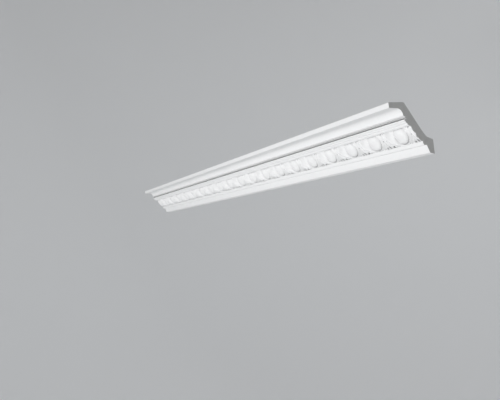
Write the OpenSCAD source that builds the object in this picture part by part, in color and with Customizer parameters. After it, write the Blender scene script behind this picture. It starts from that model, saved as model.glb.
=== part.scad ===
// Length of egg-and-dart cornice moulding, cast in one piece, cut square at both ends.
// X runs along the moulding, +Y points into the wall and +Z up to the ceiling. The origin is the
// centre of the face that is glued to the wall. Millimetres.

/* [Whole moulding] */
// Length from cut end to cut end
length = 1180; // [120:10:2400]
// How far it stands out from the wall along the ceiling
projection = 73; // [64:1:120]
// How far it comes down the wall
drop = 75; // [70:1:120]

/* [Top members] */
// Height of the flat fascia under the ceiling
fascia_h = 7.6; // [4:0.2:12]
// Set-back of the small step behind the fascia
fascia_step_w = 2.5; // [1:0.1:3]
// Height of that step
fascia_step_h = 0.5; // [0.3:0.1:1]
// Fall of the flat soffit from the step to the cavetto
soffit_fall = 0.4; // [0.2:0.1:1]
// Radius of the hollow cavetto
cavetto_r = 10.3; // [7:0.1:12.5]
// How far the lip under the cavetto leans in
lip_w = 3.9; // [2:0.1:5]
// Height of the lip
lip_h = 2.2; // [1:0.1:4]
// Height of the shadow slot under the lip
slot_h = 4.2; // [2:0.1:6]
// Set-back of the cavetto's foot from the front edge of the reeds
reeds_proud = 1.1; // [0:0.1:2]

/* [Reeds] */
// Number of small reeds between the slot and the egg band
reed_count = 3; // [2:1:4]
// Height of each reed
reed_h = 2.7; // [2:0.1:3.6]
// Set-back from one reed to the next
reed_w = 2.45; // [1.5:0.05:3]
// Depth of the quirk over the egg band
quirk_w = 2.3; // [1.5:0.1:3]

/* [Egg band] */
// Set-back of the egg band from its top edge to its bottom edge
band_w = 19.3; // [15:0.1:24]
// Height of the egg band
band_h = 22.2; // [17:0.1:26]
// Swell of the band's round face over its chord
band_swell = 3; // [1.5:0.1:4]

/* [Bottom members] */
// Height of the fillet under the egg band
fillet_h = 6; // [4:0.1:10]
// Lean of the fillet's rounded lower edge
fillet_lean = 1.6; // [0.5:0.1:2.5]
// Depth of the step under the fillet
under_step_w = 4.8; // [3:0.1:6]
// Distance of the lower fascia's top edge from the wall
foot_top_w = 13; // [11:0.1:16]
// Distance of the lower fascia's bottom edge from the wall
foot_bottom_w = 8.7; // [6:0.1:10]
// Rise of the foot's underside from the wall to its front edge
foot_rise = 2.1; // [0.5:0.1:3]

/* [Back] */
// Wall thickness straight up from the egg band's bottom edge
shell_t = 15.3; // [9:0.1:18]
// Distance of the back slope from the cavetto's foot, measured at the ceiling
crown_back = 3.7; // [1:0.1:6]
// Height of the face that is glued to the wall
seat_h = 20.8; // [15:0.1:25]
// Distance from the wall to the bend over the foot
heel_w = 12; // [8:0.5:15]
// Rise of the foot's top from the wall to that bend
heel_rise = 4.8; // [3:0.1:8]
// Radius that eases the back into the ceiling face
crown_ease_r = 4.5; // [2:0.5:6]

/* [Eggs and darts] */
// Distance from one egg to the next
egg_pitch = 60; // [48:0.5:80]
// Distance from the +X cut end to the first dart
first_dart = 3.8; // [0:0.1:30]
// Width of the husk's hollow from rim to rim
husk_w = 43; // [34:0.5:45]
// Depth of the hollow at its middle, under the band's face
husk_depth = 9; // [6:0.1:9.5]
// Distance from the quirk to the hollow's widest part
husk_crown = 7.5; // [5:0.5:10]
// Width of the egg where it rises out of the hollow
egg_w = 21; // [14:0.2:24]
// Rise of the egg over the bottom of the hollow
egg_rise = 5.5; // [3:0.1:6.5]
// Distance from the quirk to the egg's highest point
egg_crown = 14; // [7:0.5:16]
// Fall of the egg's face from there to the band's bottom edge
egg_fall = 1.2; // [0.5:0.1:3]
// Width of the dart's stem
dart_stem_w = 4.2; // [3:0.1:6]
// Radius of the dart's two hollow flanks
dart_flank_r = 26; // [24:0.5:30]
// How far the dart stands proud of the band
dart_proud = 1.2; // [0.4:0.1:1.5]
// Distance between the drilled eyes at the dart's foot
eye_pitch = 7.2; // [4:0.1:9]
// Rise of the middle eye over its two neighbours
eye_lift = 1.6; // [0:0.1:3]
// Radius of an eye at its mouth
eye_r = 1.5; // [0.8:0.1:2]
// Depth of an eye
eye_depth = 3.6; // [2:0.1:5]

/* [Hidden] */
$fn = 96;

// Heights below the ceiling and distances from the wall of the profile's main edges.
fillet_w = foot_top_w + under_step_w;
band_low_w = fillet_w + fillet_lean;
quirk_in_w = band_low_w + band_w;
reeds_in_w = quirk_in_w + quirk_w;
reeds_out_w = reeds_in_w + reed_count * reed_w;
cavetto_foot_w = reeds_out_w + reeds_proud;
soffit_d = fascia_h + fascia_step_h + soffit_fall;
cavetto_foot_d = soffit_d + cavetto_r;
slot_d = cavetto_foot_d + lip_h;
reeds_d = slot_d + slot_h;
band_top_d = reeds_d + reed_count * reed_h;
band_low_d = band_top_d + band_h;
fillet_low_d = band_low_d + fillet_h;
seat_top_d = drop - seat_h;

// The wall face's middle is the origin.
origin_d = (seat_top_d + drop) / 2;

// The egg band's chord, its length and the slope it lies on.
band_len = norm([band_w, band_h]);
band_slope = 180 - atan2(band_h, band_w);
band_r = (band_len * band_len / 4 + band_swell * band_swell) / (2 * band_swell);
band_root = 2;
edge_gap = 0.1;

// Heights here are over the band's chord, and y is measured up the slope from its middle.
function band_face(y) = sqrt(band_r * band_r - y * y) - (band_r - band_swell);
// Radius of the arc that falls by sag over a run.
function arc_radius(run, sag) = (run * run + sag * sag) / (2 * sag);
// Fall of an arc of radius r at a distance run from its top.
function arc_fall(r, run) = r - sqrt(r * r - run * run);

// The hollow is a round dish, turned about an axis outside the face and along the slope.
husk_y = band_len / 2 - husk_crown;
husk_face = band_face(husk_y);
husk_end_y = edge_gap - band_len / 2;
husk_axis = husk_face + (husk_w * husk_w / 4 - husk_depth * husk_depth) / (2 * husk_depth);
husk_r = husk_axis - husk_face + husk_depth;
husk_arc_r = arc_radius(husk_y - husk_end_y, husk_depth - husk_face + edge_gap);

// The egg is turned about an axis behind the face, and meets the dish at its own width.
egg_y = band_len / 2 - egg_crown;
egg_top = husk_face - husk_depth + egg_rise;
egg_r = arc_radius(egg_w / 2, egg_rise - arc_fall(husk_r, egg_w / 2));
egg_arc_r = arc_radius(egg_y + band_len / 2, egg_fall);

dart_y = band_len * 0.4;
dart_foot_y = 2 * edge_gap - band_len / 2;
unit_count = ceil((length - first_dart) / egg_pitch);

function arc(centre, r, from, to, steps) =
    [for (i = [0:steps]) centre + r * [cos(from + (to - from) * i / steps),
                                       sin(from + (to - from) * i / steps)]];

// Two edges of each reed, from the quirk up to the slot: a sloping face and a small ledge.
function reed_edges() =
    [for (i = [reed_count - 1:-1:0]) each [
        [reeds_out_w - (i + 0.85) * reed_w, -(reeds_d + (i + 1) * reed_h)],
        [reeds_out_w - i * reed_w, -(reeds_d + (i + 0.35) * reed_h)]]];

// Slope of the back, from the ceiling down to a point over the band's bottom edge.
back_top = [cavetto_foot_w - crown_back, 0];
back_low = [band_low_w, shell_t - band_low_d];
back_angle = atan2(back_top[1] - back_low[1], back_top[0] - back_low[0]);
ease_run = crown_ease_r * tan(back_angle / 2);

// Outline in x, the distance from the wall, and y, the height against the ceiling.
module profile() {
    difference() {
        union() {
            polygon(concat(
                [[0, -drop], [foot_bottom_w, foot_rise - drop]],
                [[foot_top_w, -fillet_low_d], [fillet_w, -fillet_low_d]],
                [[band_low_w, fillet_h / 2 - fillet_low_d], [band_low_w, -band_low_d]],
                [[quirk_in_w, -band_top_d]],
                reed_edges(),
                [[cavetto_foot_w - lip_w, -slot_d], [cavetto_foot_w, -cavetto_foot_d]],
                [[cavetto_foot_w + cavetto_r, -soffit_d]],
                [[projection - fascia_step_w, -(fascia_h + fascia_step_h)]],
                [[projection, -fascia_h], [projection, 0]],
                arc([back_top[0] + ease_run, -crown_ease_r], crown_ease_r,
                    90, 90 + back_angle, 5),
                [back_low, [heel_w, heel_rise - seat_top_d], [0, -seat_top_d]]));
            band_swell_shape();
        }
        translate([cavetto_foot_w + cavetto_r, -cavetto_foot_d]) circle(r = cavetto_r);
    }
}

// The band's swell beyond its chord, rooted a little way behind it.
module band_swell_shape() {
    translate([(band_low_w + quirk_in_w) / 2, -(band_top_d + band_low_d) / 2])
        rotate(atan2(band_h, band_w) - 90)
            intersection() {
                translate([band_swell - band_r, 0]) circle(r = band_r);
                translate([-band_root, -band_len / 2])
                    square([band_root + 2 * band_swell, band_len]);
            }
}

module along_run() {
    translate([0, 0, origin_d])
        rotate([90, 0, -90]) linear_extrude(height = length, center = true) children();
}

// Sets its children on the band's chord, x along the run, y up the slope and z out of the face.
module on_band(x) {
    translate([x, -(band_low_w + quirk_in_w) / 2, origin_d - (band_top_d + band_low_d) / 2])
        rotate([band_slope, 0, 0]) children();
}

// Half outline, widest at y, that follows an arc between two heights on the slope.
module arc_outline(r, arc_r, y, y_low, y_high) {
    intersection() {
        translate([r - arc_r, y]) circle(r = arc_r);
        translate([0, y_low]) square([r + 1, y_high - y_low]);
    }
}

// Turns its outline about a line along the slope, axis_z out from the band's chord.
module turned(axis_z) {
    translate([0, 0, axis_z]) rotate([-90, 0, 0]) rotate_extrude() children();
}

// What is hollowed out round one egg: wide above and closing to a round end below.
module husk_hollow() {
    difference() {
        turned(husk_axis)
            arc_outline(husk_r, husk_arc_r, husk_y, husk_end_y, band_len / 2 - edge_gap);
        turned(egg_top - egg_r) arc_outline(egg_r, egg_arc_r, egg_y, -band_len, band_len);
    }
}

// One dart: a stem that spreads between two hollow flanks, following the band's swell.
module dart() {
    flank_x = dart_stem_w / 2 + dart_flank_r;
    intersection() {
        translate([0, 0, -band_root]) linear_extrude(height = band_root + 2 * band_swell)
            difference() {
                translate([-egg_pitch / 2, dart_foot_y])
                    square([egg_pitch, band_len / 2 - edge_gap - dart_foot_y]);
                for (side = [-1, 1])
                    translate([side * flank_x, dart_y]) circle(r = dart_flank_r);
                for (side = [-1, 1])
                    translate([side * (flank_x / 2 + egg_pitch / 2), 0])
                        square([egg_pitch - flank_x, 2 * band_len], center = true);
            }
        translate([0, 0, band_swell - band_r]) rotate([0, 90, 0])
            cylinder(r = band_r + dart_proud, h = egg_pitch, center = true);
    }
}

// Three tapered eyes at the foot of a dart, the middle one a little higher.
module eyes() {
    for (i = [-1:1]) {
        eye_y = dart_foot_y + edge_gap + eye_r + (1 - abs(i)) * eye_lift;
        translate([i * eye_pitch, eye_y, band_face(eye_y) + dart_proud - eye_depth])
            cylinder(r1 = eye_r / 3, r2 = eye_r, h = eye_depth + edge_gap);
    }
}

module cornice() {
    dart_x = length / 2 - first_dart;
    color("white") difference() {
        union() {
            along_run() profile();
            intersection() {
                for (k = [0:unit_count]) on_band(dart_x - k * egg_pitch) dart();
                cube([length, 4 * projection, 4 * drop], center = true);
            }
        }
        for (k = [0:unit_count - 1]) on_band(dart_x - (k + 0.5) * egg_pitch) husk_hollow();
        for (k = [0:unit_count]) on_band(dart_x - k * egg_pitch) eyes();
    }
}

cornice();
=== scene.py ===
# %% [markdown]
# # A length of egg-and-dart cornice
# This file dresses one straight length of moulded cornice: the trim that is glued into the corner of
# wall and ceiling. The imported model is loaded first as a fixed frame, and every place and overall size
# below comes from it. Blender then adds what a plain solid lacks: the carver's fine relief, soft
# arrises, primer, the sawn face of the foam, light and a camera.

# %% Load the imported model
import math

import bpy
import numpy as np
from mathutils import Matrix, Vector


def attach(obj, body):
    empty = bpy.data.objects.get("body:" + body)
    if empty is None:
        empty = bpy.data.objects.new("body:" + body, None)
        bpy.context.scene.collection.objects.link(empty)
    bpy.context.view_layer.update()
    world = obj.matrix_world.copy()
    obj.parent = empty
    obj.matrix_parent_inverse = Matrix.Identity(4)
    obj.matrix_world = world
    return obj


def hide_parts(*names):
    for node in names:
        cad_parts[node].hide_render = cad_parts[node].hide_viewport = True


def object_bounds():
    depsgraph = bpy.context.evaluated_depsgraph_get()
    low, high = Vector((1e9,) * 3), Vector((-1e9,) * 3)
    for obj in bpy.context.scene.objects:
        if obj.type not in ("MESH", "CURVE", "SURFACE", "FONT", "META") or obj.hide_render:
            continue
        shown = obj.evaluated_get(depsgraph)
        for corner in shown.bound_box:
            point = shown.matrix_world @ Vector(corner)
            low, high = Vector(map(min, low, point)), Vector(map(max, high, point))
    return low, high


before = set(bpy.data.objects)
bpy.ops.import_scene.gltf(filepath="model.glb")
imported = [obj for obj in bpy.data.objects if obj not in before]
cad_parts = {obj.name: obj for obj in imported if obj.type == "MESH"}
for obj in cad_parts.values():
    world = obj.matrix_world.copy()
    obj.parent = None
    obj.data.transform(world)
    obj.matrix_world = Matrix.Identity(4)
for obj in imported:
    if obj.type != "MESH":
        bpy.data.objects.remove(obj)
cad_low, cad_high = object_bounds()

# %% [markdown]
# ## Sizes
# The section is drawn in millimetres, as a joiner draws it: w is the distance out from the wall and d
# the distance down from the ceiling. Length, projection and drop are read from the frame, and the
# members between them are named here once. Working in millimetres keeps the numbers readable, and one
# function turns a point of the section into Blender's metres.

# %% Overall sizes, from the frame
MM = 0.001
length = (cad_high.x - cad_low.x) / MM
projection = -cad_low.y / MM
drop = (cad_high.z - cad_low.z) / MM
print(f"length {length:.1f}, projection {projection:.1f}, drop {drop:.1f} mm")


def to_row(w, d):
    """Distances from wall and ceiling, in mm, as y and z in metres."""
    return -np.asarray(w, float) * MM, cad_high.z - np.asarray(d, float) * MM


# %% Members of the section, in mm
fascia_h = 7.6
step_w, step_h = 2.5, 0.5
soffit_fall = 0.4
cavetto_r = 10.3
lip_w, lip_h = 3.9, 2.2
slot_h = 4.2
reeds_proud = 1.1
reed_count, reed_h, reed_w = 3, 2.7, 2.45
reed_groove = 0.4
slit_h, slit_deep, slit_set_back = 2.3, 2.4, 0.9
quirk_w = 2.3
band_w, band_h, band_swell = 19.3, 22.2, 3.0
fillet_h, fillet_lean = 6.0, 1.6
under_step_w = 4.8
foot_top_w, foot_bottom_w, foot_rise = 13.0, 8.7, 2.1
shell_t, crown_back = 15.3, 3.7
seat_h = 20.8
heel_w, heel_rise = 12.0, 4.8
crown_ease_r = 4.5

# %% Places that follow from them
fillet_w = foot_top_w + under_step_w
band_low_w = fillet_w + fillet_lean
quirk_in_w = band_low_w + band_w
reeds_out_w = quirk_in_w + quirk_w + reed_count * reed_w
cavetto_w = reeds_out_w + reeds_proud
soffit_d = fascia_h + step_h + soffit_fall
cavetto_d = soffit_d + cavetto_r
slot_d = cavetto_d + lip_h
reeds_d = slot_d + slot_h
band_top_d = reeds_d + reed_count * reed_h
band_low_d = band_top_d + band_h
fillet_low_d = band_low_d + fillet_h
seat_top_d = drop - seat_h
print(f"egg band from {band_top_d:.1f} to {band_low_d:.1f} mm below the ceiling")

# %% [markdown]
# ## The outline with soft arrises
# A casting has no razor edges: the silicone mould and the primer round every corner a little. A bevel
# modifier could do that, but it would also touch the carved band. So each corner of the outline is
# given as a point with a radius, and one function swaps it for a short arc. Where there is room, a
# support point on either side keeps smooth shading from bleeding across the flat members.

# %% Round the corners of an outline
ARC_STEP = math.radians(18)
SUPPORT = 0.3


def rounded(corners):
    """Outline through (w, d, radius) corners: an arc at each, support points where there is room."""
    points = [corners[0][:2]]
    for before, here, after in zip(corners, corners[1:], corners[2:]):
        corner = np.array(here[:2])
        back, ahead = np.array(before[:2]) - corner, np.array(after[:2]) - corner
        room = min(np.linalg.norm(back), np.linalg.norm(ahead))
        back, ahead = back / np.linalg.norm(back), ahead / np.linalg.norm(ahead)
        turn = math.pi - math.acos(np.clip(back @ ahead, -1, 1))
        reach = here[2] * math.tan(turn / 2)
        if here[2] == 0 or turn < 0.01:
            points.append(tuple(corner))
            continue
        centre = corner + (back + ahead) / np.linalg.norm(back + ahead) * here[2] / math.cos(turn / 2)
        supported = reach + SUPPORT < room * 0.45
        if supported:
            points.append(tuple(corner + back * (reach + SUPPORT)))
        start, end = corner + back * reach - centre, corner + ahead * reach - centre
        steps = max(2, math.ceil(turn / ARC_STEP))
        for i in range(steps + 1):
            mix = np.sin([(1 - i / steps) * turn, i / steps * turn]) / math.sin(turn)
            points.append(tuple(centre + mix[0] * start + mix[1] * end))
        if supported:
            points.append(tuple(corner + ahead * (reach + SUPPORT)))
    return points + [corners[-1][:2]]


# %% Members below the egg band, in the order in which a hand would feel them
below_band = [
    (band_low_w, band_low_d, 0),
    (band_low_w, fillet_low_d - fillet_h / 2, 2.5),
    (fillet_w, fillet_low_d, 0.5),
    (foot_top_w, fillet_low_d, 0.3),
    (foot_bottom_w, drop - foot_rise, 1.8),
    (0, drop, 0.3),
]

# %% The back, from the wall face up to the ceiling face
back = [
    (0, seat_top_d, 0.4),
    (heel_w, seat_top_d - heel_rise, 3.0),
    (band_low_w, band_low_d - shell_t, 3.0),
    (cavetto_w - crown_back, 0, crown_ease_r),
]

# %% Members above the band, from the ceiling down to the quirk
cavetto = []
for turn in np.radians(np.linspace(90, 180, 19)):
    at_w = cavetto_w + cavetto_r + cavetto_r * math.cos(turn)
    cavetto.append((at_w, cavetto_d - cavetto_r * math.sin(turn), 0))

# Under the lip the outline comes out again, and a slit, which reads as a dark line, parts it from the
# first reed.
slit_w, slit_d = reeds_out_w - slit_set_back, reeds_d - 0.4 * slit_h
slit = [
    (slit_w, slit_d - slit_h, 0.3),
    (slit_w - slit_deep, slit_d - 0.6 * slit_h, 0),
    (slit_w - slit_deep, slit_d, 0),
    (slit_w + 0.5, slit_d + 0.1, 0.2),
]

reeds = []
for i in range(reed_count):
    reeds.append((reeds_out_w - i * reed_w, reeds_d + (i + 0.35) * reed_h, 0.9))
    if i < reed_count - 1:
        groove_w = reeds_out_w - (i + 0.85) * reed_w - reed_groove
        reeds.append((groove_w, reeds_d + (i + 1) * reed_h - reed_groove, 0))

above_band = [
    (projection, 0, 0.4),
    (projection, fascia_h, 0.5),
    (projection - step_w, fascia_h + step_h, 0.2),
    *cavetto,
    (cavetto_w - lip_w, slot_d, 0.3),
    *slit,
    *reeds,
    (quirk_in_w + quirk_w + 0.15 * reed_w, band_top_d, 0.3),
    (quirk_in_w, band_top_d, 0),
]
outline = rounded(below_band + back + above_band)
print(f"{len(outline)} points round the outline outside the egg band")

# %% [markdown]
# ## The carved band
# The eggs, husks and darts lie on a round-faced band that slopes from the quirk down to the fillet.
# They could be separate meshes joined by booleans, but cast ornament grows out of its ground without
# seams. A height field suits it better: for each spot of the band, one number says how far the carving
# stands over or sinks under the band's face. v is the distance along the run from the nearest dart's
# axis, and s the distance down the slope from the quirk. Both sides of every dart and egg are alike,
# so half a repeat describes them all.

# %% The band's own slope and swell
band_len = math.hypot(band_w, band_h)
band_r = (band_len**2 / 4 + band_swell**2) / (2 * band_swell)
up_slope = np.array([band_w, -band_h]) / band_len
outward = np.array([band_h, band_w]) / band_len
band_mid = np.array([band_low_w + quirk_in_w, band_top_d + band_low_d]) / 2


def band_face(s):
    """Height of the plain band over its chord, s down from the quirk."""
    return np.sqrt(band_r**2 - (band_len / 2 - s) ** 2) - (band_r - band_swell)


def band_point(s, height):
    """w and d of a point on the band that stands this high over the plain face."""
    along = band_len / 2 - s
    over = band_face(s) + height
    return (band_mid[0] + along * up_slope[0] + over * outward[0],
            band_mid[1] + along * up_slope[1] + over * outward[1])


# %% Repeat of the pattern and where it starts
egg_pitch = 60.0
first_dart = 3.8
half = egg_pitch / 2
dart_x = length / 2 - first_dart
print(f"{(length - first_dart) / egg_pitch:.2f} repeats, face radius {band_r:.1f} mm")

# %% [markdown]
# ## A carver's kit
# Carving is a few moves made again and again: a round bead, a soft step, two surfaces that melt into
# each other, and a distance to a drawn line, which turns any curve into a rib or a groove. Each is one
# small function on whole arrays, so every spot of the half repeat is worked at once.

# %% Beads, steps and soft unions


def bead(x):
    """Half-round bump: 1 in the middle, 0 at x = -1 and 1."""
    return np.sqrt(np.clip(1 - x**2, 0, None))


def ease(x):
    """Soft step from 0 to 1 while x goes from 0 to 1."""
    t = np.clip(x, 0, 1)
    return t * t * (3 - 2 * t)


def melt(a, b, width):
    """The higher of two surfaces, with their meeting line softened over this width."""
    return (a + b + np.sqrt((a - b) ** 2 + width**2)) / 2


# %% Distance to a drawn line
def from_line(line, v, s):
    """Gap from each spot to a line of (v, s) points, and on which side of it the spot lies."""
    start, step = line[:-1], np.diff(line, axis=0)
    spot = np.stack([v, s], -1)[..., None, :] - start
    share = np.clip((spot * step).sum(-1) / (step * step).sum(-1), 0, 1)
    gap = spot - share[..., None] * step
    reach = np.hypot(gap[..., 0], gap[..., 1])
    nearest = reach.argmin(-1)[..., None]
    turn = np.sign(step[..., 0] * gap[..., 1] - step[..., 1] * gap[..., 0])
    return (np.take_along_axis(reach, nearest, -1)[..., 0],
            np.take_along_axis(turn, nearest, -1)[..., 0])


# %% [markdown]
# ## The husk and its egg
# Each egg lies in a husk, like an acorn in a dish with a rolled edge. The rim runs straight down from
# the quirk and closes to a rounded point under the egg. Inside it the dish falls in a hollow curve,
# steep at the edge and flat at the bottom. Outside it run a stout bead and a thin one. The egg is a
# stretched circle, drawn out further above its middle than below, and the quirk cuts off its top. A
# narrow channel goes round its foot, so that its outline shows even in soft light.

# %% Rim of the husk
rim_half, rim_shoulder, rim_drop, rim_power = 22.3, 8.0, 21.3, 1.65
turns = np.radians(np.linspace(0, 90, 61))
rim_v = half - rim_half * np.cos(turns) ** (2 / rim_power)
rim_s = rim_shoulder + rim_drop * np.sin(turns) ** (2 / rim_power)
rim = np.column_stack([np.r_[rim_v[0], rim_v], np.r_[-6.0, rim_s]])

# %% Dish and rolled edge
dish_depth, dish_tip_depth = 7.0, 3.6
dish_wall, dish_tip_wall = 8.2, 4.0
tip_start, tip_run = 15.0, 13.0
rim_level, valley = -0.3, -0.9
stout_rise, stout_at, stout_half = 1.4, 1.1, 1.15
thin_rise, thin_at, thin_half = 0.95, 3.2, 0.95


def dish(inside, s):
    """Hollow of the husk at a distance inside its rim."""
    to_tip = ease((s - tip_start) / tip_run)
    depth = dish_depth + (dish_tip_depth - dish_depth) * to_tip
    wall = dish_wall + (dish_tip_wall - dish_wall) * to_tip
    fall = 1 - (1 - np.clip(inside / wall, 0, 1)) ** 2
    return rim_level - (depth + rim_level) * fall


def rolled_edge(outside):
    """The stout and the thin bead outside the rim, standing on the valley floor."""
    stout = stout_rise * bead((outside - stout_at) / stout_half)
    thin = thin_rise * bead((outside - thin_at) / thin_half)
    return valley + np.maximum(stout, thin)


# %% Egg
egg_half, egg_mid, egg_above, egg_below = 12.4, 15.0, 18.6, 13.2
egg_rise, egg_root = 7.1, 0.8
channel_w, channel_depth = 0.17, 1.6


def egg_share(v, s):
    """Distance from the egg's middle, as a share of the egg's own outline."""
    down = np.clip(s - egg_mid, 0, None) / egg_below
    up = np.clip(egg_mid - s, 0, None) / egg_above
    across = (half - v) / egg_half
    return np.sqrt(across**2 + down**2 + up**2)


def egg(v, s):
    """The egg's skin, rooted a little under the floor of its dish."""
    floor = dish(np.full_like(s, dish_wall), s) - egg_root
    return floor + egg_rise * np.sqrt(np.clip(1 - egg_share(v, s) ** 2, 0, None))


# %% [markdown]
# ## The dart
# Between two husks a narrow stem comes down from the quirk and opens like a tent into four rounded
# lobes. The lobes are parted by three veins, and each vein ends in a drilled eye just over the fillet,
# as carvers bored them to get a dark accent. Small pockets beside the stem mark its upper end and the
# place where the lobes part from it.

# %% Stem and lobes
stem_half, stem_proud = 1.5, 1.5
lobe_start, lobe_foot = 8.0, band_len - 0.2
tent_half, tent_power = 12.6, 1.6
vein_share = 0.6
lobe_proud = 2.1
open_after, open_run = 2.0, 5.0


def tent_edge(s):
    """Half width of the dart, which opens below the stem."""
    opening = np.clip((s - lobe_start) / (band_len - lobe_start), 0, 1)
    return stem_half + (tent_half - stem_half) * opening**tent_power


def dart(v, s):
    """Stem above, four lobes below, standing on the valley floor."""
    share = v / tent_edge(s)
    inner = bead((share - vein_share / 2) / (vein_share / 2))
    outer = bead((share - (1 + vein_share) / 2) / ((1 - vein_share) / 2))
    lobes = lobe_proud * np.maximum(inner, 0.85 * outer) ** 0.8
    stem = stem_proud * bead(v / stem_half)
    opened = ease((s - lobe_start - open_after) / open_run)
    return (stem * (1 - opened) + lobes * opened) * ease(lobe_foot - s)


# %% Drilled eyes and pockets
eye_pitch, eye_r, eye_depth, eye_lift = 7.2, 2.2, 5.6, 1.6
eye_s = band_len - eye_r - 0.1
pocket_v, pocket_r, pocket_depth = 3.1, 1.2, 1.3
pockets = [(pocket_v, 1.6), (pocket_v + 0.4, 13.0)]


def holes(v, s):
    """Depth of the drilled eyes and of the pockets beside the stem."""
    deep = np.zeros_like(v)
    for at_v, at_s in ((0, eye_s - eye_lift), (eye_pitch, eye_s)):
        gap = np.hypot(v - at_v, s - at_s)
        deep = np.maximum(deep, eye_depth * np.sqrt(bead(gap / eye_r)))
    for at_v, at_s in pockets:
        gap = np.hypot(v - at_v, s - at_s)
        deep = np.maximum(deep, pocket_depth * bead(gap / pocket_r) ** 2)
    return deep


# %% All of the relief
FAR_BELOW = -20.0
seam = 0.25


def relief(v, s):
    """Height of the carving over the plain band's face, in mm."""
    gap, side = from_line(rim, v, s)
    inside, outside = np.where(side < 0, gap, 0), np.where(side > 0, gap, 0)
    channel = channel_depth * bead((egg_share(v, s) - 1) / channel_w)
    hollow = np.where(side < 0, dish(inside, s) - channel, FAR_BELOW)
    ground = np.where(side > 0, rolled_edge(outside), rim_level)
    ground = np.where(side < 0, FAR_BELOW, ground)
    husk = np.maximum(melt(hollow, egg(v, s), seam), ground)
    raised = np.where(side > 0, valley + dart(v, s), FAR_BELOW)
    return np.maximum(husk, raised) - holes(v, s) * (side > 0)


# %% [markdown]
# ## One watertight skin
# The band needs a dense grid, and the plain members need almost nothing. Giving all of them the dense
# columns would take nearly four times the triangles, so each line of the section gets either the dense
# columns or sparse ones, and two neighbouring lines are zipped together with triangles. The grid is
# finest at the darts, where the carving is smallest.

# %% Columns along the run and rows down the band
half_columns = np.r_[np.linspace(0, 9.5, 21)[:-1], np.linspace(9.5, 20, 14)[:-1],
                     np.linspace(20, half, 12)[:-1]]
unit_columns = np.r_[half_columns, half, egg_pitch - half_columns[:0:-1]]
repeats = math.ceil((length - first_dart) / egg_pitch) + 1
dense = np.concatenate([dart_x - k * egg_pitch + unit_columns for k in range(repeats)])
inside_run = np.abs(dense) < length / 2 - 0.15
dense = np.unique(np.r_[-length / 2, dense[inside_run], length / 2])
sparse = np.linspace(-length / 2, length / 2, 60)
rows = np.r_[0.1, np.linspace(0.7, 22.5, 31), np.linspace(23, band_len - 0.1, 13)]
print(f"{len(dense)} dense columns, {len(sparse)} sparse ones, {len(rows)} rows on the band")

# %% Carve the band
from_dart = np.abs((dart_x - dense + half) % egg_pitch - half)
spots_v, which = np.unique(np.round(from_dart, 6), return_inverse=True)
grid_v, grid_s = np.meshgrid(spots_v, rows)
carved = relief(grid_v, grid_s)[:, which]
print(f"relief from {carved.min():.2f} to {carved.max():.2f} mm")

# %% Lines of the skin: the band's rows between the two ends of the outline
lines = [(dense, np.full(len(dense), w), np.full(len(dense), d)) for w, d in outline[-1:]]
for s, heights in zip(rows, carved):
    w, d = band_point(s, heights)
    lines.append((dense, w, d))
lines.append((dense, np.full(len(dense), outline[0][0]), np.full(len(dense), outline[0][1])))
band_lines = len(lines)
for w, d in outline[1:-1]:
    lines.append((sparse, np.full(len(sparse), w), np.full(len(sparse), d)))

points, first = [], []
for x, w, d in lines:
    first.append(sum(len(p) for p in points))
    y, z = to_row(w, d)
    points.append(np.column_stack([x * MM, y, z]))
points = np.concatenate(points)
print(f"{len(lines)} lines, {len(points)} points")


# %% Faces between two lines
def zip_lines(a, b):
    """Faces from line a to line b: quads where their columns match, otherwise triangles."""
    xa, xb = lines[a][0], lines[b][0]
    if len(xa) == len(xb):
        i = np.arange(len(xa) - 1)
        return np.column_stack([first[a] + i, first[b] + i, first[b] + i + 1, first[a] + i + 1]).tolist()
    faces, i, j = [], 0, 0
    while i < len(xa) - 1 or j < len(xb) - 1:
        step_a = j == len(xb) - 1 or (i < len(xa) - 1 and xa[i + 1] + xa[i] <= xb[j + 1] + xb[j])
        if step_a:
            faces.append([first[a] + i, first[b] + j, first[a] + i + 1])
            i += 1
        else:
            faces.append([first[a] + i, first[b] + j, first[b] + j + 1])
            j += 1
    return faces


# %% The whole skin, with its two sawn ends
FRONT, BACK, SAWN = 0, 1, 2
back_outline = rounded(below_band[-2:] + back + above_band[:2])
behind = {tuple(np.round(p, 6)) for p in back_outline[1:-1]}
faces, finish = [], []
for a in range(len(lines)):
    b = (a + 1) % len(lines)
    strip = zip_lines(a, b)
    ends = [tuple(np.round((lines[k][1][0], lines[k][2][0]), 6)) for k in (a, b)]
    faces += strip
    finish += [BACK if all(e in behind for e in ends) else FRONT] * len(strip)
for column, order in ((0, -1), (-1, 1)):
    ring = [first[k] + column % len(lines[k][0]) for k in range(len(lines))]
    faces.append(ring[::order])
    finish.append(SAWN)
print(f"{len(faces)} faces")

# %% Make the mesh
mesh = bpy.data.meshes.new("carved_cornice")
mesh.from_pydata(points.tolist(), [], faces)
mesh.polygons.foreach_set("material_index", np.array(finish, np.int32))
mesh.polygons.foreach_set("use_smooth", np.array([f != SAWN for f in finish]))
mesh.validate(clean_customdata=False)
mesh.update()
mesh.set_sharp_from_angle(angle=math.radians(33))

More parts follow.
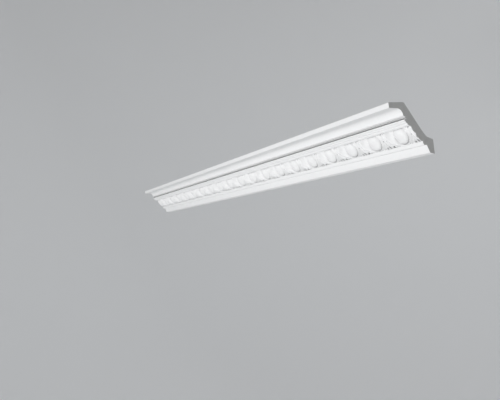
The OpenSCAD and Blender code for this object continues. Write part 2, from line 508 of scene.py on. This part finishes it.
# %% Keep the carving smooth: only the plain members and the sawn ends have sharp lines
edge_ends = np.empty(len(mesh.edges) * 2, np.int32)
mesh.edges.foreach_get("vertices", edge_ends)
in_band = (edge_ends.reshape(-1, 2) >= first[1]) & (edge_ends.reshape(-1, 2) < first[band_lines - 1])
sharp = mesh.attributes["sharp_edge"]
marks = np.empty(len(mesh.edges), bool)
sharp.data.foreach_get("value", marks)
on_end = np.abs(np.abs(points[edge_ends.reshape(-1, 2), 0]) - length / 2 * MM).max(1) < 1e-7
sharp.data.foreach_set("value", marks & ~(in_band.all(1) & ~on_end))
cornice = bpy.data.objects.new("carved_cornice", mesh)
bpy.context.collection.objects.link(cornice)
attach(cornice, "root")
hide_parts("cornice")
mesh.calc_loop_triangles()
print(f"{len(mesh.loop_triangles)} triangles")

# %% [markdown]
# ## Shader maths as plain Python
# A node graph is hard to read as code. This class wraps one socket, so that an expression such as
# 1 - mask builds its own Math nodes, and any other node comes from a single method.


# %% A socket that understands Python's signs
class Shade:
    """One value in a material's node tree."""

    def __init__(self, tree, socket=None):
        self.tree, self.socket = tree, socket

    def node(self, kind, settings=None, inputs=None, out=0):
        """A node of this kind: its settings are set first, then its sockets are filled or linked."""
        made = self.tree.nodes.new(kind)
        for name, value in (settings or {}).items():
            if name == "stops":
                ramp = made.color_ramp.elements
                while len(ramp) < len(value):
                    ramp.new(1.0)
                for element, (place, colour) in zip(ramp, value):
                    element.position, element.color = place, colour
            else:
                setattr(made, name, value)
        for name, value in (inputs or {}).items():
            if isinstance(value, Shade):
                self.tree.links.new(value.socket, made.inputs[name])
            else:
                made.inputs[name].default_value = value
        return Shade(self.tree, made.outputs[out])

    def maths(self, operation, first_value, second_value):
        return self.node("ShaderNodeMath", {"operation": operation}, {0: first_value, 1: second_value})

    def __add__(self, other):
        return self.maths("ADD", self, other)

    def __radd__(self, other):
        return self.maths("ADD", other, self)

    def __sub__(self, other):
        return self.maths("SUBTRACT", self, other)

    def __rsub__(self, other):
        return self.maths("SUBTRACT", other, self)

    def __mul__(self, other):
        return self.maths("MULTIPLY", self, other)

    def __rmul__(self, other):
        return self.maths("MULTIPLY", other, self)


# %% Helpers that every finish uses
def new_finish(name):
    """A fresh material, its tools, its Principled shader and the object's own coordinates."""
    material = bpy.data.materials.new(name)
    material.use_nodes = True
    tree = material.node_tree
    tools = Shade(tree)
    shader = tree.nodes["Principled BSDF"]
    place = tools.node("ShaderNodeTexCoord", out=3)
    print("finish", name)
    return material, tools, shader, place


def noise(tools, place, size, detail=2.0, rough=0.5):
    """Soft noise from 0 to 1 whose patches are about this many mm across."""
    return tools.node("ShaderNodeTexNoise", inputs={
        "Vector": place, "Scale": 1 / (size * MM), "Detail": detail, "Roughness": rough})


def blend_colours(tools, amount, low, high):
    """The low colour where amount is 0 and the high one where it is 1."""
    return tools.node("ShaderNodeMix", {"data_type": "RGBA"}, {
        "Factor": amount, 6: (*low, 1), 7: high if isinstance(high, Shade) else (*high, 1)}, out=2)


def wear(tree, shader, **sockets):
    """Links worked-out values to the shader's sockets, with spaces for underscores."""
    for name, value in sockets.items():
        tree.links.new(value.socket, shader.inputs[name.replace("_", " ")])


# %% [markdown]
# ## Finishes
# The front has the maker's primer: a sprayed white of low sheen, with a faint orange peel and the softest
# change of tone where the coat is thicker. Plain white would look like plastic card, so the tone, the
# roughness and the bump all vary a little. The bump is far smaller than the carving, which is real
# geometry. Narrow recesses also get painted shade: an ambient occlusion node measures how shut in each
# spot is, and its ramp darkens the white towards near black there. It makes the eyes, the slit and the
# channel round each egg read from afar.


# %% Primer on the front
def primer():
    material, tools, shader, place = new_finish("sprayed_primer")
    cloud = noise(tools, place, 90, detail=3.0)
    coat = noise(tools, place, 6, detail=3.0)
    peel = noise(tools, place, 0.9)
    tone = cloud * 0.6 + coat * 0.4
    coated = blend_colours(tools, tone, (0.875, 0.875, 0.880), (0.925, 0.925, 0.922))
    # Painted shade: the more shut in a spot is, the nearer its white goes to near black.
    ao_openness = tools.node("ShaderNodeAmbientOcclusion", {"only_local": True, "samples": 8}, {
        "Distance": 6 * MM}, out=1)
    painted_shade_ramp = tools.node("ShaderNodeValToRGB", {"stops": [
        (0.30, (0, 0, 0, 1)), (0.45, (0.7, 0.7, 0.7, 1)), (0.70, (1, 1, 1, 1))]}, {"Fac": ao_openness})
    # Base colour: the primer's white, blended to near black in the recesses by the painted shade ramp.
    wear(material.node_tree, shader,
         Base_Color=blend_colours(tools, painted_shade_ramp, (0.03, 0.03, 0.032), coated),
         Roughness=0.46 + coat * 0.16,
         Normal=tools.node("ShaderNodeBump", inputs={
             "Height": peel, "Strength": 0.12, "Distance": 0.05 * MM}))
    return material


# %% [markdown]
# The sawn ends show the core: dense grey foam with a fine even grain, tiny open pores and the faint
# parallel marks of the saw. Those marks run across the section at the tilt at which the saw was held.


# %% Sawn foam at the ends
def sawn_foam():
    material, tools, shader, place = new_finish("sawn_foam")
    grain = noise(tools, place, 0.55, detail=4.0, rough=0.7)
    cloud = noise(tools, place, 7)
    pores = tools.node("ShaderNodeTexVoronoi", inputs={"Vector": place, "Scale": 1 / (1.1 * MM)})
    open_pore = tools.node("ShaderNodeMapRange", inputs={
        "Value": pores, "From Min": 0.10, "From Max": 0.28, "To Min": 1.0, "To Max": 0.0})
    tilted = tools.node("ShaderNodeMapping", inputs={
        "Vector": place, "Rotation": (math.radians(35), 0, 0)})
    saw = tools.node("ShaderNodeTexWave", {"bands_direction": "Z"}, {
        "Vector": tilted, "Scale": 1 / (8 * MM), "Distortion": 2.0, "Detail": 2.0})
    tone = grain * 0.55 + cloud * 0.2 + saw * 0.12 + 0.07 - open_pore * 0.35
    height = grain * 0.5 + saw * 0.2 - open_pore
    wear(material.node_tree, shader,
         Base_Color=blend_colours(tools, tone, (0.38, 0.38, 0.375), (0.58, 0.58, 0.57)),
         Roughness=0.85 + grain * 0.1,
         Normal=tools.node("ShaderNodeBump", inputs={
             "Height": height, "Strength": 0.5, "Distance": 0.15 * MM}))
    return material


# %% [markdown]
# The back is never seen once the moulding is up, so it is left plainer: the foam's own skin under a
# thin mist of primer, duller and blotchier than the front.


# %% Skin on the back
def back_skin():
    material, tools, shader, place = new_finish("back_skin")
    blotch = noise(tools, place, 35, detail=4.0, rough=0.6)
    grain = noise(tools, place, 1.4, detail=3.0)
    wear(material.node_tree, shader,
         Base_Color=blend_colours(tools, blotch * 0.8 + grain * 0.2,
                                  (0.66, 0.66, 0.65), (0.82, 0.82, 0.81)),
         Roughness=0.72 + grain * 0.15,
         Normal=tools.node("ShaderNodeBump", inputs={
             "Height": grain, "Strength": 0.3, "Distance": 0.12 * MM}))
    return material


# %% Put the finishes on, in the order of FRONT, BACK and SAWN
for made in (primer(), back_skin(), sawn_foam()):
    mesh.materials.append(made)

# %% [markdown]
# ## Floor, light and camera
# The moulding hangs where its wall mount holds it, over a plain pale floor that curves up into a round
# backdrop, so that hardly a horizon shows. The main light stands in front and a little below, so it
# falls across the sloping egg band. Three weaker and larger lights reach the near end, the paper and
# the back, and the white surroundings fill the rest.

# %% Floor and backdrop in one sweep
floor_z, floor_r, cove_r, backdrop_h = -2.4, 3.2, 1.6, 5.0
sweep = [(floor_r * i / 4, floor_z) for i in range(5)]
for i in range(1, 13):
    turn = math.radians(90 * i / 12)
    sweep.append((floor_r + cove_r * math.sin(turn), floor_z + cove_r * (1 - math.cos(turn))))
sweep.append((floor_r + cove_r, floor_z + backdrop_h))
around = 96
stage_points = [(0, 0, floor_z)]
for r, z in sweep[1:]:
    for k in range(around):
        turn = 2 * math.pi * k / around
        stage_points.append((r * math.cos(turn), r * math.sin(turn), z))
stage_faces = [(0, 1 + k, 1 + (k + 1) % around) for k in range(around)]
for ring in range(len(sweep) - 2):
    for k in range(around):
        a, b = 1 + ring * around + k, 1 + ring * around + (k + 1) % around
        stage_faces.append((a, a + around, b + around, b))
stage_mesh = bpy.data.meshes.new("floor_sweep")
stage_mesh.from_pydata(stage_points, [], stage_faces)
stage_mesh.shade_smooth()
floor = bpy.data.objects.new("floor_sweep", stage_mesh)
bpy.context.collection.objects.link(floor)

# %% Pale paper on the floor
paper = bpy.data.materials.new("backdrop_paper")
paper.use_nodes = True
paper.node_tree.nodes["Principled BSDF"].inputs["Base Color"].default_value = (0.80, 0.81, 0.82, 1)
paper.node_tree.nodes["Principled BSDF"].inputs["Roughness"].default_value = 0.95
stage_mesh.materials.append(paper)


# %% Lights
def soft_light(name, place, aim, size, power):
    """A square area light at place that faces aim."""
    lamp = bpy.data.lights.new(name, "AREA")
    lamp.size, lamp.energy = size, power
    holder = bpy.data.objects.new(name, lamp)
    holder.location = place
    holder.rotation_euler = (Vector(aim) - Vector(place)).to_track_quat("-Z", "Y").to_euler()
    holder.visible_camera = False
    bpy.context.collection.objects.link(holder)
    print("light", name, power, "W")


middle = (cad_low + cad_high) / 2
soft_light("front_light", (0.8, -2.6, -0.7), middle, 0.5, 42)
soft_light("end_light", (2.6, -0.9, 0.5), middle, 1.2, 7.5)
soft_light("paper_light", (0.2, 1.6, 0.8), (-4.0, 2.6, 0.0), 2.6, 24)
soft_light("back_light", (-1.2, 2.4, 0.9), middle, 1.6, 32)

world = bpy.data.worlds.new("studio")
bpy.context.scene.world = world
world.use_nodes = True
world.node_tree.nodes["Background"].inputs["Color"].default_value = (1, 1, 1, 1)
world.node_tree.nodes["Background"].inputs["Strength"].default_value = 0.36
bpy.context.scene.view_settings.view_transform = "Standard"

# %% [markdown]
# The camera stands beyond the near end, a little below the moulding, and looks along the run towards
# the wall. It is held slightly tilted, so that the run climbs across the frame.

# %% Camera
past_end, off_wall, under_foot = 0.606, 0.609, 0.069
yaw, pitch, roll = (math.radians(a) for a in (26.9, 2.4, -6.67))
lens_mm, sensor_mm = 41.4, 36.0

look = Vector((-math.cos(yaw) * math.cos(pitch), math.sin(yaw) * math.cos(pitch), math.sin(pitch)))
right = look.cross(Vector((0, 0, 1))).normalized()
up = right.cross(look)
tilted_right = right * math.cos(roll) + up * math.sin(roll)
tilted_up = up * math.cos(roll) - right * math.sin(roll)
camera = bpy.data.objects.new("camera", bpy.data.cameras.new("camera"))
camera.data.lens, camera.data.sensor_width = lens_mm, sensor_mm
camera.data.clip_start, camera.data.clip_end = 0.01, 60
turned = Matrix((tilted_right, tilted_up, -look)).transposed()
camera.matrix_world = Matrix.Translation(
    (cad_high.x + past_end, -off_wall, cad_low.z - under_foot)) @ turned.to_4x4()
bpy.context.collection.objects.link(camera)
bpy.context.scene.camera = camera
print("camera at", [round(c, 3) for c in camera.matrix_world.translation])

# %% [markdown]
# ## Finish
# The view layer is brought up to date once more at the end. The carving must stay inside the box of
# the solid that it stands for.

# %% Bring the scene up to date
bpy.context.view_layer.update()
